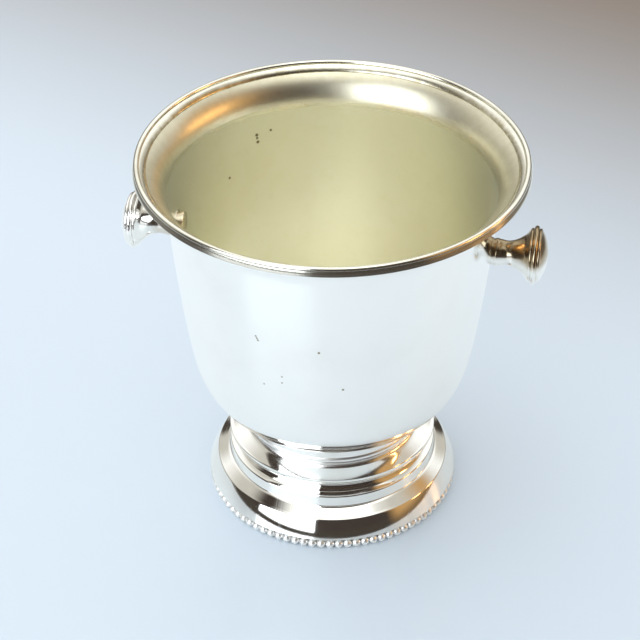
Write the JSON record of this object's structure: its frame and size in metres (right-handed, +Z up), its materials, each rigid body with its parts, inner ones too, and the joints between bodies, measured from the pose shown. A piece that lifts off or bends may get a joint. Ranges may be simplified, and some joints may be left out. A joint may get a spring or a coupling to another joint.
{
  "type": "ice bucket",
  "caption": "Footed silver-plated ice bucket with a rolled-out mouth, stepped pedestal foot with beaded border and turned side knobs.",
  "frame": {"origin": "centre of the circle the foot stands on, at table level", "axes": "+Z up along the bucket's own axis; the two knobs lie on X, and the front seen first is -Y"},
  "size_m": [0.1774, 0.16, 0.1645],
  "materials": {
    "bowl_silver": "silver plate, polished outside, satin and yellowed inside",
    "rim_silver": "silver plate, polished, tarnished in the inner corner",
    "foot_silver": "silver plate, mirror polish",
    "border_silver": "silver plate, worn high spots, darker between the lobes",
    "knob_silver": "silver plate, mirror polish, dark in the grooves",
    "bolt_metal": "plated steel, mottled and tarnished"
  },
  "bodies": {
    "root": {"bucket_shell": "bowl_silver", "rim_bead": "rim_silver", "neck_collar": "foot_silver", "foot_shell": "foot_silver", "foot_border": "border_silver", "knob_left": "knob_silver", "knob_right": "knob_silver", "washer_left": "bolt_metal", "washer_right": "bolt_metal", "bolt_left": "bolt_metal", "bolt_right": "bolt_metal"}
  },
  "joints": []
}
